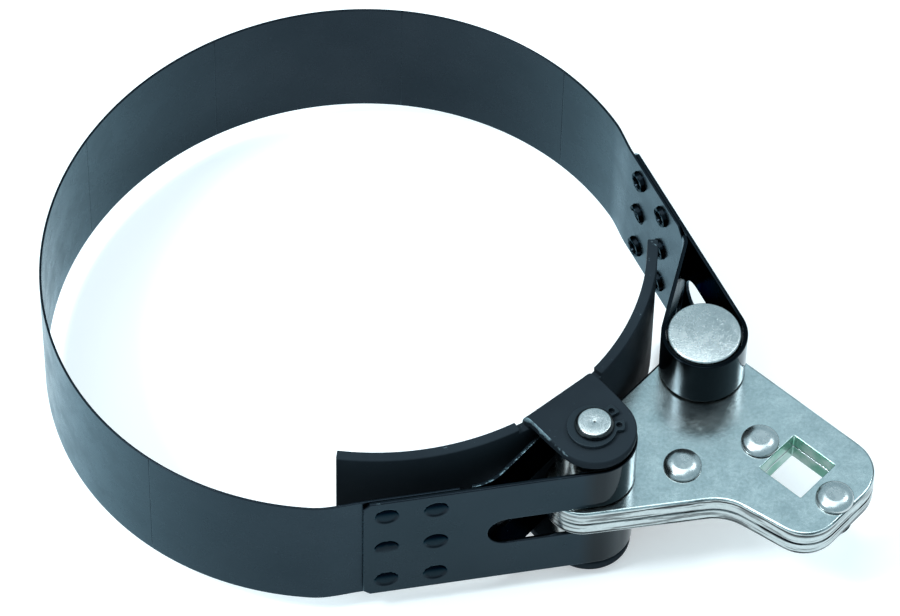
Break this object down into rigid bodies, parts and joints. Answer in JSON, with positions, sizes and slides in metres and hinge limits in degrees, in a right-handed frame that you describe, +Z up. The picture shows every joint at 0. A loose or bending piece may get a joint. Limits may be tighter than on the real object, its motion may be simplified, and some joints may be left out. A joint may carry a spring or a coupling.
{
  "type": "oil filter wrench",
  "caption": "Band-type oil filter wrench: a spring-steel band joined to looped straps, a curved shoe, and a riveted plate lever with a square drive hole.",
  "frame": {"origin": "centre of the plan at the height of the pivot pin's lower end, the lowest point", "axes": "+Z up along the pins and the axis of the filter, +X from the band towards the drive end of the lever, +Y across, from the pivot pin towards the far side of the band"},
  "size_m": [0.201, 0.1506, 0.0511],
  "materials": {
    "band_steel": "satin blued steel",
    "strap_black": "black, semi-gloss",
    "shoe_black": "black, satin",
    "clip_black": "black oxide",
    "lever_zinc": "zinc plated",
    "pin_zinc": "zinc plated, turned"
  },
  "bodies": {
    "pivot_strap": {"pivot_strap": "strap_black", "band_1": "band_steel"},
    "lever": {"lever_plate_bottom": "lever_zinc", "lever_plate_top": "lever_zinc", "lever_rivet_1": "lever_zinc", "lever_rivet_2": "lever_zinc", "lever_rivet_3": "lever_zinc", "pull_pin": "pin_zinc", "pull_pin_collar": "pin_zinc"},
    "shoe": {"shoe": "shoe_black", "pivot_pin": "pin_zinc", "circlip_top": "clip_black", "circlip_bottom": "clip_black", "spacer_top": "pin_zinc", "spacer_bottom": "pin_zinc"},
    "band_2": {"band_2": "band_steel"},
    "band_3": {"band_3": "band_steel"},
    "band_4": {"band_4": "band_steel"},
    "band_5": {"band_5": "band_steel"},
    "pull_strap": {"band_6": "band_steel", "pull_strap": "strap_black"}
  },
  "joints": [
    {"name": "lever_turn", "type": "hinge", "parent": "pivot_strap", "child": "lever", "pos_m": [0.0326, -0.05457, 0.02555], "axis": [0, 0, 1], "range_deg": [-25, 0]},
    {"name": "shoe_swing", "type": "hinge", "parent": "pivot_strap", "child": "shoe", "pos_m": [0.0326, -0.05457, 0.02555], "axis": [0, 0, 1], "range_deg": [-2, 6]},
    {"name": "band_2_bend", "type": "hinge", "parent": "pivot_strap", "child": "band_2", "pos_m": [-0.09171, -0.03835, 0.02555], "axis": [0, 0, 1], "range_deg": [-6.47, 0]},
    {"name": "band_3_bend", "type": "hinge", "parent": "band_2", "child": "band_3", "pos_m": [-0.09824, 0.01277, 0.02555], "axis": [0, 0, 1], "range_deg": [-11.78, 0]},
    {"name": "band_4_bend", "type": "hinge", "parent": "band_3", "child": "band_4", "pos_m": [-0.07688, 0.05141, 0.02555], "axis": [0, 0, 1], "range_deg": [0, 9.65]},
    {"name": "band_5_bend", "type": "hinge", "parent": "band_4", "child": "band_5", "pos_m": [-0.03829, 0.07303, 0.02555], "axis": [0, 0, 1], "range_deg": [0, 13.12]},
    {"name": "far_end_bend", "type": "hinge", "parent": "band_5", "child": "pull_strap", "pos_m": [0.01296, 0.06638, 0.02555], "axis": [0, 0, 1], "range_deg": [-10.35, 0]}
  ],
  "couplings": [
    {"joint": "band_2_bend", "follows": "lever_turn", "ratio": 0.257},
    {"joint": "band_3_bend", "follows": "lever_turn", "ratio": 0.469},
    {"joint": "band_4_bend", "follows": "lever_turn", "ratio": -0.384},
    {"joint": "band_5_bend", "follows": "lever_turn", "ratio": -0.523},
    {"joint": "far_end_bend", "follows": "lever_turn", "ratio": 0.412}
  ]
}
